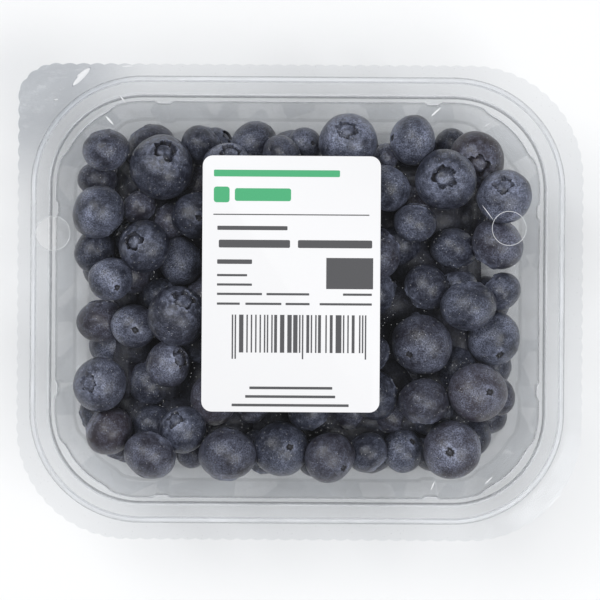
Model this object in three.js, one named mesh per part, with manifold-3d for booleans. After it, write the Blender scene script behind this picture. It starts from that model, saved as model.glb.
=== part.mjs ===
// A sealed punnet of blueberries: a clear tray with a turned-down rim, a clear film sealed over it,
// a paper label on the film and the heap of berries inside.
// Millimetres, +Z up. The tray stands on z = 0 and the origin is under the middle of the film.

import * as THREE from "three";
import { mergeVertices } from "three/addons/utils/BufferGeometryUtils.js";
import Module from "manifold-3d";

const wasm = await Module();
wasm.setup();

// Tray
const RIM_LENGTH = 143;
const RIM_WIDTH = 119.6;
const RIM_RADIUS = 30;
const TRAY_HEIGHT = 38;
const TRAY_SKIN = 0.6;
const TRAY_SHIFT = [-0.7, 0.6]; // the film was cut a little off the middle of the tray
const LIP_WIDTH = 1.2;
const LIP_DROP = 1.5;
const FLANGE_WIDTH = 5.4;
const LEDGE_WIDTH = 1.7;
const LEDGE_DROP = 1.3;
const BAND_HEIGHT = 12; // the upper part of the wall, down to the step
const BAND_DRAFT = 1.5;
const STEP_WIDTH = 0.9;
const WALL_DRAFT = 2.6;
const FOOT_ROUND = 2.6;
const FOOT_WIDTH = 6;
const PANEL_RISE = 1.2;
const LUG_DEPTH = 0.7;
const LUG_FROM_MIDDLE = [36, 24]; // along the long sides and along the short sides
const LUG_FLAT = 1.5; // half of a lug's full depth, along the side
const LUG_RUN = 2.5; // half of a lug's whole width
const CORNER_STEPS = 8;
const CORNER_TUCK = 1; // how far each corner of the wall is drawn in
const TUCK_FROM = 0.27; // the part of the quarter turn where the corner is drawn in
const TUCK_TO = 0.73;

// Film and label
const FILM_LENGTH = 151;
const FILM_WIDTH = 127;
const FILM_RADIUS = 30;
const FILM_THICKNESS = 0.25;
const FILM_GAP = 0.25;
const TOOTH_PITCH = 3.7;
const TOOTH_DEPTH = 0.45;
const TAB_CUT = [9, 7]; // the peel tab keeps its corner but for this much of each side
const HOLE_RADIUS = 4.5;
const HOLES = [[55.7, 20.1], [-66, 18]];
const LABEL_SIZE = [47.5, 68.3];
const LABEL_RADIUS = 2.7;
const LABEL_THICKNESS = 0.2;
const LABEL_GAP = 0.15;
const LABEL_CENTRE = [-2.4, 4.9];

// Berries that can be made out from above, from the highest to the deepest: x and y from the middle
// of the tray, diameter, and where the crown or the scar of the stem shows on the berry's disc
const EYE_HEIGHT = 750; // of the viewpoint over the film; a deep berry lies further out than it looks
const HEAP_TOP = 36.4;
const SEEN_LEVELS = [
  {
    drop: 0,
    berries: [
      [-36.5, 35.2, 17.6, 0.16, 0.57],
      [-18.9, 35.5, 13.3, 0.2, 0.64],
      [13.3, 42.3, 15.5, -0.08, 0.42],
      [39.3, 32.4, 16.5, -0.13, 0.05],
      [55.4, 28, 14.7, -0.09, 0.48],
      [20.5, 12.7, 14.9],
      [45.5, -1.3, 15.7],
      [33.8, -26.8, 13.6],
      [48.2, -24.3, 16, 0.42, 0.03],
      [8.9, -42, 13.9, 0.6, -0.42],
      [-18.4, -41.1, 15.5],
      [-39.1, -41.6, 14.1],
      [-52.6, -22.9, 14.7, -0.44, 0.12],
      [-31.9, -4.3, 16.5, 0.3, 0.62],
      [-49.9, 5.3, 12, 0.4, -0.47],
      [-40.9, 14.1, 14.1, -0.45, 0.2],
    ],
  },
  {
    drop: 2.5,
    berries: [
      [-51.6, 40, 12.8],
      [-4.3, 38.7, 11.2],
      [30.5, 42.9, 13.3],
      [48.5, 38.7, 15.2, 0.05, -0.25],
      [23.5, 30.1, 13.3],
      [31.2, 20.8, 11.5],
      [34.5, 3.7, 12.8],
      [52.7, -9.9, 14.7, 0.21, -0.65],
      [33.3, -11.7, 16.5, -0.53, -0.37],
      [20.1, -14.1, 10.1],
      [20.4, -25.1, 13.9],
      [41.5, -39.7, 15.7, -0.14, -0.04],
      [18.9, -40.5, 11.2],
      [-4.1, -39.7, 14.9, 0.38, 0.13],
      [-30.3, -34.7, 12.8, -0.36, 0.54],
      [-50, -35.2, 13.3],
      [-34.4, -17.3, 12.3, 0.68, 0.3],
      [-43.6, -7.2, 12, 0.12, -0.2],
      [-54.3, -5.9, 13.3],
      [-53.4, 23.2, 14.9],
      [-27.3, 22.4, 12.8, 0.2, -0.15],
      [-22.3, -26.7, 13.9],
      [-11.3, -27.2, 11.7],
      [14, -28.8, 11.7],
    ],
  },
  {
    drop: 6,
    berries: [
      [-39.5, 40.8, 13.9],
      [-26, 41.1, 11.7],
      [-12, 41.3, 13.3],
      [1.6, 41.3, 9.6, 0.5, 0.1],
      [41.2, 42.4, 11.2],
      [53.5, 15.2, 14.4],
      [54.8, 2.7, 10.7],
      [28.4, -40, 11.7, 0.45, 0.5],
      [-39.3, -22.4, 12.8],
      [-54.1, 12.8, 11.7],
      [3.3, -29.3, 11.7],
    ],
  },
  {
    drop: 10,
    berries: [
      [23.1, 38.1, 8.5],
      [41.5, 14.1, 12.8],
      [47.3, -36, 10.7],
      [-27.9, -40.5, 9.3],
      [-54.8, 32, 10.7],
      [-42.5, 24.5, 9.6],
      [-31.3, 10.1, 12.8],
      [-54.8, 8.5, 11.7],
      [-49.5, -12, 12],
      [-54, -30.7, 10.7],
      [52.7, -17.3, 11.7],
    ],
  },
];

// The rest of the heap, which fills the tray under and between them
const FILL_SEED = 7;
const FILL_LAYERS = [8, 17.5, 27.5];
const FILL_PITCH = 12.4;
const FILL_DEPTH = 12; // how far they stay under the top of the heap, but for those under the label
const FILL_JITTER = 4;
const FILL_DIAMETER = [11, 16];
const FILL_ROUNDS = 60;
const FILL_CLEAR = 0.68; // of two radii, where a berry may start
const FILL_SQUEEZE = 0.84; // of two radii, the closest that two berries may end
const TOUCH = 0.93; // of two radii, how close two berries lie where they touch
const WALL_GAP = 0.9;
const FLOOR_GAP = 0.4;
const BERRY_FLATNESS = 0.88; // a berry's height from crown to stem, to its diameter
const FINE_FROM = 24; // the height over which a berry has more sides
const FACET_GROWTH = 1.03; // makes up for the flat faces of a berry with few sides
const CORE_INSET = 15;
const CORE_TOP = 25;
const CORE_FLOOR = 5;
const CORE_CHAMFER = 4;

// Walks once round a rounded rectangle, counter-clockwise, as a list of stations. A corner station
// has its angle, a side station its distance along the side, and each has the depth of its lug.
function trayStations() {
  const stations = [];
  for (let quarter = 0; quarter < 4; quarter++) {
    for (let step = 0; step <= CORNER_STEPS; step++) {
      const turn = step / CORNER_STEPS;
      const tuck = turn > TUCK_FROM && turn < TUCK_TO ? CORNER_TUCK : 0;
      stations.push({ quarter, angle: ((quarter + turn) * Math.PI) / 2, tuck });
    }
    const lug = LUG_FROM_MIDDLE[quarter % 2];
    for (const middle of [-lug, lug]) {
      stations.push({ quarter, along: middle - LUG_RUN, tuck: 0 });
      stations.push({ quarter, along: middle - LUG_FLAT, tuck: LUG_DEPTH });
      stations.push({ quarter, along: middle + LUG_FLAT, tuck: LUG_DEPTH });
      stations.push({ quarter, along: middle + LUG_RUN, tuck: 0 });
    }
  }
  return stations;
}

// The place of a station on the outline that lies `inset` inside the rim
function stationPlace(station, inset, tucked) {
  const half = [RIM_LENGTH / 2 - inset, RIM_WIDTH / 2 - inset];
  const radius = RIM_RADIUS - inset;
  const depth = station.tuck * tucked;
  if (station.angle !== undefined) {
    const outX = Math.cos((station.quarter + 0.5) * (Math.PI / 2)) > 0 ? 1 : -1;
    const outY = Math.sin((station.quarter + 0.5) * (Math.PI / 2)) > 0 ? 1 : -1;
    return [
      outX * (half[0] - radius) + (radius - depth) * Math.cos(station.angle),
      outY * (half[1] - radius) + (radius - depth) * Math.sin(station.angle),
    ];
  }
  const facing = station.quarter + 1;
  const normal = [[1, 0], [0, 1], [-1, 0], [0, -1]][facing % 4];
  const away = half[facing % 2] - depth;
  return [
    normal[0] * away - normal[1] * station.along,
    normal[1] * away + normal[0] * station.along,
  ];
}

// The upper skin of the tray from the middle of the base out to the lip, each point with its distance
// inside the rim, its height and how much of the lugs it takes
function traySection() {
  const flange = FLANGE_WIDTH;
  const wallTop = flange + LEDGE_WIDTH;
  const ledgeZ = TRAY_HEIGHT - LEDGE_DROP;
  const bandFoot = wallTop + BAND_DRAFT;
  const stepZ = ledgeZ - BAND_HEIGHT;
  const wallFoot = bandFoot + STEP_WIDTH + WALL_DRAFT;
  const floorZ = TRAY_SKIN;
  const panel = wallFoot + FOOT_ROUND + FOOT_WIDTH;
  return [
    { inset: panel + PANEL_RISE, z: floorZ + PANEL_RISE, lug: 0 },
    { inset: panel, z: floorZ, lug: 0 },
    { inset: wallFoot + FOOT_ROUND, z: floorZ, lug: 0 },
    { inset: wallFoot + FOOT_ROUND * 0.3, z: floorZ + FOOT_ROUND * 0.3, lug: 0.5 },
    { inset: wallFoot, z: floorZ + FOOT_ROUND, lug: 1 },
    { inset: bandFoot + STEP_WIDTH, z: stepZ - STEP_WIDTH, lug: 1 },
    { inset: bandFoot, z: stepZ, lug: 1 },
    { inset: wallTop, z: ledgeZ, lug: 1 },
    { inset: flange + 0.2, z: ledgeZ + 0.1, lug: 0 },
    { inset: flange, z: TRAY_HEIGHT, lug: 0 },
    { inset: LIP_WIDTH, z: TRAY_HEIGHT, lug: 0 },
    { inset: LIP_WIDTH * 0.2, z: TRAY_HEIGHT - LIP_DROP * 0.5, lug: 0 },
    { inset: 0, z: TRAY_HEIGHT - LIP_DROP, lug: 0 },
  ];
}

// The same section moved off by the skin's thickness, on its lower and outer side
function underSection(section) {
  return section.map((point, index) => {
    const before = section[Math.max(index - 1, 0)];
    const after = section[Math.min(index + 1, section.length - 1)];
    const run = before.inset - after.inset;
    const rise = after.z - before.z;
    const length = Math.hypot(run, rise);
    return {
      inset: point.inset - (TRAY_SKIN * rise) / length,
      z: point.z - (TRAY_SKIN * run) / length,
      lug: point.lug,
    };
  });
}

// A lathe whose rings are led round the stations instead of round a circle
function ledRoundTray(section, closeTop, closeFoot) {
  const stations = trayStations();
  const rings = [closeTop, ...section, closeFoot];
  const profile = rings.map((ring) => new THREE.Vector2(ring.inset === undefined ? 0 : 1, ring.z));
  const geometry = new THREE.LatheGeometry(profile, stations.length);
  const position = geometry.attributes.position;
  for (let column = 0; column <= stations.length; column++) {
    const station = stations[column % stations.length];
    for (let ring = 0; ring < rings.length; ring++) {
      const { inset, z, lug } = rings[ring];
      const [x, y] = inset === undefined ? [0, 0] : stationPlace(station, inset, lug);
      position.setXYZ(column * rings.length + ring, x, y, z);
    }
  }
  return bare(geometry);
}

function trayGeometry() {
  const upper = traySection();
  const under = underSection(upper);
  const floorTop = upper[0].z;
  under[0].inset = upper[0].inset;
  under[0].z = floorTop - TRAY_SKIN;
  const around = [...under, ...upper.slice().reverse()];
  return ledRoundTray(around, { z: floorTop - TRAY_SKIN }, { z: floorTop });
}

// Leaves a geometry only its places, with shared corners merged
function bare(geometry) {
  geometry.deleteAttribute("normal");
  geometry.deleteAttribute("uv");
  return mergeVertices(geometry, 1e-4);
}

function toSolid(geometry) {
  const vertProperties = new Float32Array(geometry.attributes.position.array);
  const triVerts = new Uint32Array(geometry.index.array);
  return new wasm.Manifold(new wasm.Mesh({ numProp: 3, vertProperties, triVerts }));
}

function toGeometry(solid) {
  const mesh = solid.getMesh();
  const geometry = new THREE.BufferGeometry();
  geometry.setAttribute("position", new THREE.BufferAttribute(mesh.vertProperties, 3));
  geometry.setIndex(new THREE.BufferAttribute(mesh.triVerts, 1));
  return geometry;
}

// The film's cut before its teeth: three round corners, and a square one for the peel tab
function filmCut() {
  const x = FILM_LENGTH / 2;
  const y = FILM_WIDTH / 2;
  const inX = x - FILM_RADIUS;
  const inY = y - FILM_RADIUS;
  const cut = new THREE.Path();
  cut.moveTo(-x, y - TAB_CUT[1]);
  cut.lineTo(-x, -inY);
  cut.absarc(-inX, -inY, FILM_RADIUS, Math.PI, 1.5 * Math.PI, false);
  cut.lineTo(inX, -y);
  cut.absarc(inX, -inY, FILM_RADIUS, 1.5 * Math.PI, 2 * Math.PI, false);
  cut.lineTo(x, inY);
  cut.absarc(inX, inY, FILM_RADIUS, 0, 0.5 * Math.PI, false);
  cut.lineTo(-x + TAB_CUT[0], y);
  cut.quadraticCurveTo(-x + TAB_CUT[0] * 0.3, y - TAB_CUT[1] * 0.15, -x, y - TAB_CUT[1]);
  return cut;
}

function filmGeometry() {
  const cut = filmCut();
  const teeth = Math.round(cut.getLength() / TOOTH_PITCH);
  const points = [];
  for (let half = 0; half < teeth * 2; half++) {
    const along = half / (teeth * 2);
    const place = cut.getPointAt(along);
    const tangent = cut.getTangentAt(along);
    const depth = half % 2 === 0 ? TOOTH_DEPTH : 0;
    points.push(new THREE.Vector2(place.x - tangent.y * depth, place.y + tangent.x * depth));
  }
  const shape = new THREE.Shape(points);
  for (const [x, y] of HOLES) {
    const hole = new THREE.Path();
    hole.absarc(x, y, HOLE_RADIUS, 0, 2 * Math.PI, true);
    shape.holes.push(hole);
  }
  const options = { depth: FILM_THICKNESS, bevelEnabled: false, curveSegments: 20 };
  return new THREE.ExtrudeGeometry(shape, options);
}

function labelGeometry() {
  const x = LABEL_SIZE[0] / 2;
  const y = LABEL_SIZE[1] / 2;
  const r = LABEL_RADIUS;
  const shape = new THREE.Shape();
  shape.moveTo(-x + r, -y);
  shape.absarc(x - r, -y + r, r, -0.5 * Math.PI, 0, false);
  shape.absarc(x - r, y - r, r, 0, 0.5 * Math.PI, false);
  shape.absarc(-x + r, y - r, r, 0.5 * Math.PI, Math.PI, false);
  shape.absarc(-x + r, -y + r, r, Math.PI, 1.5 * Math.PI, false);
  const options = { depth: LABEL_THICKNESS, bevelEnabled: false, curveSegments: 3 };
  return new THREE.ExtrudeGeometry(shape, options);
}

// A seeded row of numbers from 0 to 1
function dice(seed) {
  let state = seed;
  return () => {
    state = (state * 1664525 + 1013904223) % 4294967296;
    return state / 4294967296;
  };
}

// How far inside the rim the inner face of the wall is at a height
function wallInset(z) {
  const ledgeZ = TRAY_HEIGHT - LEDGE_DROP;
  const stepZ = ledgeZ - BAND_HEIGHT;
  const wallTop = FLANGE_WIDTH + LEDGE_WIDTH;
  if (z > stepZ) {
    return wallTop + (BAND_DRAFT * (ledgeZ - z)) / BAND_HEIGHT;
  }
  return wallTop + BAND_DRAFT + STEP_WIDTH + (WALL_DRAFT * (stepZ - z)) / stepZ;
}

// Moves a berry back between the walls, the floor and a ceiling
function keepInTray(berry, ceiling) {
  const lowest = TRAY_SKIN + PANEL_RISE + FLOOR_GAP + berry.r;
  berry.z = Math.max(Math.min(berry.z, ceiling - berry.r), lowest);
  const inset = wallInset(berry.z);
  const radius = RIM_RADIUS - inset;
  const cornerX = RIM_LENGTH / 2 - RIM_RADIUS;
  const cornerY = RIM_WIDTH / 2 - RIM_RADIUS;
  const reach = radius - berry.r - WALL_GAP;
  berry.x = Math.max(Math.min(berry.x, cornerX + reach), -cornerX - reach);
  berry.y = Math.max(Math.min(berry.y, cornerY + reach), -cornerY - reach);
  const overX = Math.abs(berry.x) - cornerX;
  const overY = Math.abs(berry.y) - cornerY;
  const over = Math.sqrt(overX * overX + overY * overY);
  const limit = reach - CORNER_TUCK;
  if (overX > 0 && overY > 0 && over > limit) {
    berry.x = (cornerX + (overX * limit) / over) * (berry.x > 0 ? 1 : -1);
    berry.y = (cornerY + (overY * limit) / over) * (berry.y > 0 ? 1 : -1);
  }
}

// A direction that the crown or the stem of a berry looks in, when none is stated
function anyAxis(draw) {
  const axis = [draw() * 2 - 1, draw() * 2 - 1, draw() - 0.5];
  const length = Math.sqrt(axis[0] * axis[0] + axis[1] * axis[1] + axis[2] * axis[2]);
  return axis.map((part) => part / length);
}

// Each seen berry lies as high as its level and the berries over it allow
function seenBerries(draw) {
  const berries = [];
  for (const level of SEEN_LEVELS) {
    for (const [x, y, diameter, faceX, faceY] of level.berries) {
      const random = anyAxis(draw);
      const stated = faceX !== undefined;
      const axis = stated ? [faceX, faceY, Math.sqrt(1 - faceX * faceX - faceY * faceY)] : random;
      const berry = { x, y, z: HEAP_TOP - level.drop - diameter / 2, r: diameter / 2, axis };
      for (const other of berries) {
        const reach = TOUCH * (berry.r + other.r);
        const room = reach * reach - (x - other.x) ** 2 - (y - other.y) ** 2;
        if (room > 0) {
          berry.z = Math.min(berry.z, other.z - Math.sqrt(room));
        }
      }
      const outwards = 1 + (TRAY_HEIGHT - berry.z) / EYE_HEIGHT;
      berry.x *= outwards;
      berry.y *= outwards;
      berry.r *= outwards;
      keepInTray(berry, HEAP_TOP);
      berries.push(berry);
    }
  }
  return berries;
}

function distance(one, other) {
  const dx = one.x - other.x;
  const dy = one.y - other.y;
  const dz = one.z - other.z;
  return Math.sqrt(dx * dx + dy * dy + dz * dz);
}

function clearOf(berry, others, share) {
  return others.every((other) => distance(berry, other) > share * (berry.r + other.r));
}

// Moves a loose berry away from another, which takes half of the way if it is loose too
function pushApart(berry, other, otherIsLoose) {
  const away = distance(berry, other);
  const overlap = TOUCH * (berry.r + other.r) - away;
  if (overlap <= 0) {
    return;
  }
  const share = (otherIsLoose ? 0.5 : 1) * (overlap / away);
  for (const side of ["x", "y", "z"]) {
    const step = (berry[side] - other[side]) * share;
    berry[side] += step;
    if (otherIsLoose) {
      other[side] -= step;
    }
  }
}

// Under the label an unseen berry may lie as high as any, and elsewhere only under those that show
function ceilingOver(berry) {
  const offX = Math.abs(berry.x + TRAY_SHIFT[0] - LABEL_CENTRE[0]);
  const offY = Math.abs(berry.y + TRAY_SHIFT[1] - LABEL_CENTRE[1]);
  const covered = offX < LABEL_SIZE[0] / 2 - berry.r && offY < LABEL_SIZE[1] / 2 - berry.r;
  return covered ? HEAP_TOP : HEAP_TOP - FILL_DEPTH;
}

// The unseen berries start on a loose grid, are pushed apart, and those without room are left out
function fillBerries(seen, draw) {
  const loose = [];
  for (const z of FILL_LAYERS) {
    for (let row = 0; row < 9; row++) {
      for (let column = 0; column < 10; column++) {
        const jitter = [draw() - 0.5, draw() - 0.5, draw() - 0.5].map((part) => part * FILL_JITTER);
        const diameter = FILL_DIAMETER[0] + (FILL_DIAMETER[1] - FILL_DIAMETER[0]) * draw();
        const axis = anyAxis(draw);
        const berry = {
          x: (column - 4.75 + (row % 2) * 0.5) * FILL_PITCH + jitter[0],
          y: (row - 4) * FILL_PITCH * 0.9 + jitter[1],
          z: z + jitter[2],
          r: diameter / 2,
          axis,
        };
        keepInTray(berry, ceilingOver(berry));
        if (clearOf(berry, seen, FILL_CLEAR) && clearOf(berry, loose, FILL_CLEAR)) {
          loose.push(berry);
        }
      }
    }
  }
  for (let round = 0; round < FILL_ROUNDS; round++) {
    loose.forEach((berry, index) => {
      seen.forEach((other) => pushApart(berry, other, false));
      loose.slice(0, index).forEach((other) => pushApart(berry, other, true));
      keepInTray(berry, ceilingOver(berry));
    });
  }
  const kept = [];
  for (const berry of loose) {
    keepInTray(berry, ceilingOver(berry));
    if (clearOf(berry, seen, FILL_SQUEEZE) && clearOf(berry, kept, FILL_SQUEEZE)) {
      kept.push(berry);
    }
  }
  return kept;
}

// One berry, a little flat from crown to stem, with the fewest sides low in the heap
function berrySolid(berry) {
  const deep = berry.z < FINE_FROM;
  const geometry = bare(deep ? new THREE.OctahedronGeometry(1, 1) : new THREE.IcosahedronGeometry(1, 1));
  const across = berry.r * FACET_GROWTH;
  const turn = new THREE.Quaternion();
  turn.setFromUnitVectors(new THREE.Vector3(0, 0, 1), new THREE.Vector3(...berry.axis));
  const place = new THREE.Vector3(berry.x, berry.y, berry.z);
  const size = new THREE.Vector3(across, across, across * BERRY_FLATNESS);
  return toSolid(geometry.applyMatrix4(new THREE.Matrix4().compose(place, turn, size)));
}

// The hidden middle of the heap, which joins the berries
function coreSolid() {
  const rounds = [
    { inset: CORE_INSET + CORE_CHAMFER, z: CORE_FLOOR, lug: 0 },
    { inset: CORE_INSET, z: CORE_FLOOR + CORE_CHAMFER, lug: 0 },
    { inset: CORE_INSET, z: CORE_TOP - CORE_CHAMFER, lug: 0 },
    { inset: CORE_INSET + CORE_CHAMFER, z: CORE_TOP, lug: 0 },
  ];
  return toSolid(ledRoundTray(rounds, { z: CORE_FLOOR }, { z: CORE_TOP }));
}

function heapGeometry() {
  const draw = dice(FILL_SEED);
  const seen = seenBerries(draw);
  const berries = [...seen, ...fillBerries(seen, draw)];
  const heap = berries.reduce((solid, berry) => solid.add(berrySolid(berry)), coreSolid());
  const pieces = heap.decompose();
  pieces.sort((one, other) => other.volume() - one.volume());
  return toGeometry(pieces[0]);
}

function addMesh(group, name, geometry, look) {
  const mesh = new THREE.Mesh(geometry, new THREE.MeshStandardMaterial(look));
  mesh.name = name;
  group.add(mesh);
  return mesh;
}

const punnet = new THREE.Group();
const packed = new THREE.Group();
packed.position.set(TRAY_SHIFT[0], TRAY_SHIFT[1], 0);
punnet.add(packed);

addMesh(packed, "tray", trayGeometry(), {
  color: 0xd4dade, roughness: 0.08, metalness: 0, transparent: true, opacity: 0.35,
});
addMesh(packed, "berries", heapGeometry(), { color: 0x3c3f4f, roughness: 0.55, metalness: 0 });

const film = addMesh(punnet, "film", filmGeometry(), {
  color: 0xe8ecee, roughness: 0.06, metalness: 0, transparent: true, opacity: 0.2,
});
film.position.z = TRAY_HEIGHT + FILM_GAP;

const label = addMesh(punnet, "label", labelGeometry(), { color: 0xf5f6f8, roughness: 0.5, metalness: 0 });
label.position.set(LABEL_CENTRE[0], LABEL_CENTRE[1], film.position.z + FILM_THICKNESS + LABEL_GAP);

export default punnet;
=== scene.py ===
"""A sealed punnet of blueberries: clear tray, clear film, paper label and the heap of berries.

The file is laid out as an add-on and is run as a script. Sizes are metres, as in the frame.
"""

import math

import bmesh
import bpy
from bpy.props import FloatProperty, FloatVectorProperty, PointerProperty
from mathutils import Matrix, Vector, noise


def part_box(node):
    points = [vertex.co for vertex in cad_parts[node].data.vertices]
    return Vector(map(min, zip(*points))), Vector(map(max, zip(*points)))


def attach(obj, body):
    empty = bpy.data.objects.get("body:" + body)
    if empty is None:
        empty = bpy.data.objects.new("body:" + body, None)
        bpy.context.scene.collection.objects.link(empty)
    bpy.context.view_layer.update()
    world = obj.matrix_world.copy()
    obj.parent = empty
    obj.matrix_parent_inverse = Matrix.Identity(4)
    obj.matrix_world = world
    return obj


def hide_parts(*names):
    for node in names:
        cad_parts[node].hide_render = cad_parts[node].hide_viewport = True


bl_info = {
    "name": "Blueberry punnet",
    "version": (1, 0, 0),
    "blender": (4, 5, 0),
    "location": "View3D > Sidebar > Punnet",
    "description": "Models a sealed punnet of blueberries around its packed frame",
    "category": "Add Mesh",
}

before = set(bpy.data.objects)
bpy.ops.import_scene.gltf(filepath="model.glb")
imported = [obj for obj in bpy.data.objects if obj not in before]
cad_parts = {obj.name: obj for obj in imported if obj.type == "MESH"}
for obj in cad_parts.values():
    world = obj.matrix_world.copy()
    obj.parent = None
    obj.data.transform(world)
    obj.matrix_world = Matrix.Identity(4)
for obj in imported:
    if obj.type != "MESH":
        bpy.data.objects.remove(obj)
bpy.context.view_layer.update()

MM = 0.001
TURN = 2 * math.pi

TRAY_LOW, TRAY_HIGH = (Vector(corner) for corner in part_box("tray"))
FILM_LOW, FILM_HIGH = (Vector(corner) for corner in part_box("film"))
LABEL_LOW, LABEL_HIGH = (Vector(corner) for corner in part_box("label"))
TRAY_MIDDLE = (TRAY_LOW + TRAY_HIGH) / 2
LABEL_MIDDLE = (LABEL_LOW + LABEL_HIGH) / 2

# Tray
RIM_RADIUS = 30 * MM
TRAY_SHEET = 0.45 * MM
LIP_WIDTH = 1.2 * MM
LIP_DROP = 1.5 * MM
BEAD_DROP = 0.35 * MM
STEP_HEIGHT = 6 * MM
FLANGE_WIDTH = 5.4 * MM
LEDGE_WIDTH = 1.7 * MM
LEDGE_DROP = 1.3 * MM
BAND_HEIGHT = 12 * MM
BAND_DRAFT = 1.5 * MM
STEP_WIDTH = 0.9 * MM
LINE_HEIGHT = 15 * MM
WALL_DRAFT = 2.6 * MM
FOOT_ROUND = 2.6 * MM
FOOT_WIDTH = 6 * MM
PANEL_RISE = 1.2 * MM
LUG_DEPTH = 0.7 * MM
LUG_FROM_MIDDLE = (36 * MM, 24 * MM)
LUG_HALF = 2.6 * MM
CORNER_TUCK = 1 * MM
TUCK_FROM = 0.2
TUCK_FADE = 0.1
CORNER_STEPS = 26
SIDE_STEP = 5 * MM
BEND_STEPS = 4
ROUND_LIMIT = 0.45

# Film
TOOTH_PITCH = 3.7 * MM
TOOTH_DEPTH = 0.45 * MM
POINTS_PER_TOOTH = 6
TAB_CUT = (9 * MM, 7 * MM)
TAB_BEND = (0.3, 0.15)
TAB_STEPS = 20
FILM_CORNER = 30 * MM
FILM_SHEET = 0.1 * MM
FILM_CELL = 0.9 * MM
FILM_RIPPLE = 0.3 * MM
# The film's ripples: length, width, where their noise is cut and their share
FILM_WAVES = ((17 * MM, 13 * MM, 1.7, 1), (6 * MM, 7 * MM, 5.1, 0.4))
FILM_SETTLE = 8 * MM
FILM_DROOP = 0.06
LABEL_MARGIN = 1 * MM
LABEL_SETTLE = 6 * MM
# The tab's grey: how far it reaches, where it starts to fade in parts of that, and how much fainter
# it is inside the tray's rim and over what way
TAB_REACH = 24 * MM
TAB_START = 1.6
TAB_INSIDE = 0.6
TAB_STEP = 1.5 * MM
CUT_STEPS = 60
CUTTER_REACH = 5 * MM
HOLE_RADIUS = 4.5 * MM
HOLE_STEPS = 64
HOLE_RIM_OFF = 0.05 * MM
HOLE_RIM = 0.09 * MM
CREASE_HEIGHT = 0.12 * MM
HOLES = ((55.7 * MM, 20.1 * MM), (-66 * MM, 18 * MM))
# Short folds in the film: start, end and width in millimetres from its middle
CREASES = (
    ((48.4, 26.3), (51.5, 22.2), 0.2),
    ((34.6, 49.8), (37.3, 52.3), 0.5),
    ((48.8, 47.1), (50.5, 48.3), 0.3),
    ((-52.2, 49.4), (-50.1, 47.1), 0.6),
    ((-48.3, 54.8), (-46.9, 52.9), 0.4),
    ((35.2, -49.9), (36.2, -47.5), 0.4),
    ((49.6, -48.2), (51.6, -46.2), 0.4),
    ((-61.2, 57.2), (-56.2, 62.4), 1.5),
    ((-60.2, 59.6), (-56.8, 62.2), 0.6),
    ((-66.1, 53.4), (-64.9, 53.8), 0.4),
    ((-48.2, 62.6), (-44.6, 62.8), 0.5),
)

# Tints of light that goes through, and of what is mirrored and scattered
TRAY_CLEAR = (0.99, 0.992, 0.994, 1)
# Painted shade: the wall tints below grey the tray's upper wall, more where it turns away and in
# patches, for the shadow and refraction that darken it
TRAY_SLANT = (0.968, 0.972, 0.976, 1)
# Painted shade: a dark tint that draws lines at the tray's bends, for the refraction there
TRAY_BEND_SHADE = (0.45, 0.46, 0.47, 1)
TRAY_WALL_SHADE = (0.86, 0.872, 0.885, 1)
# Painted highlight: a pale haze laid along the tray's lip and ledge edges
TRAY_HIGHLIGHT_TINT = (0.92, 0.93, 0.95, 1)
FILM_CLEAR = (0.90, 0.907, 0.915, 1)
FILM_TAB = (0.55, 0.57, 0.60, 1)
FILM_HAZE = (0.93, 0.94, 0.96, 1)
MIRROR_TINT = (0.93, 0.95, 0.97, 1)
WARM_SKIN = (0.027, 0.018, 0.023, 1)
# Near black: the own colour of the scar and the crown's pit, and painted shade on the core and in the
# pit
DARK_SKIN_AND_SHADE = (0.010, 0.008, 0.009, 1)

# Label
LABEL_CORNER = 2.7 * MM
LABEL_EDGE = 0.05 * MM

# Print: left side, middle from the top, width and height in millimetres from the label's corner
PRINT_RISE = 0.02 * MM
PRINT_CORNER = 0.18
GREEN_FIELDS = (
    (3, 4.7, 33.6, 1.8),
    (3, 10.4, 4.2, 4.2),
    (8.6, 10.4, 15, 3.4),
)
DARK_FIELDS = (
    (2.9, 15.7, 41.6, 0.3),
    (4, 19.3, 18.7, 1.1),
    (4.4, 23.5, 19, 2.1),
    (25.5, 23.5, 19.8, 2.1),
    (4, 28.3, 9.3, 1.2),
    (4, 31.9, 8, 0.6),
    (4, 34.4, 9.3, 0.6),
    (4, 36.9, 12, 0.6),
    (17.2, 36.9, 11.4, 0.6),
    (4, 39.5, 6.1, 0.6),
    (11.6, 39.5, 9.6, 0.6),
    (22.3, 39.5, 6.4, 0.6),
    (37.6, 36.9, 7.7, 0.6),
    (31.4, 39.5, 13.9, 0.6),
    (33.1, 31.3, 12.5, 8.3),
    (12.8, 61.9, 22.1, 0.7),
    (11.7, 64.2, 24, 0.7),
    (8.1, 66.5, 31.2, 0.7),
)
BARS_LEFT = 8
BARS_TOP = 42.4
BARS_WIDTH = 37.3
BARS_HEIGHT = 10.1
BARS_DROP = 1.7
BAR_STEP = 0.39
BARS_SEED = 23

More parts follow.
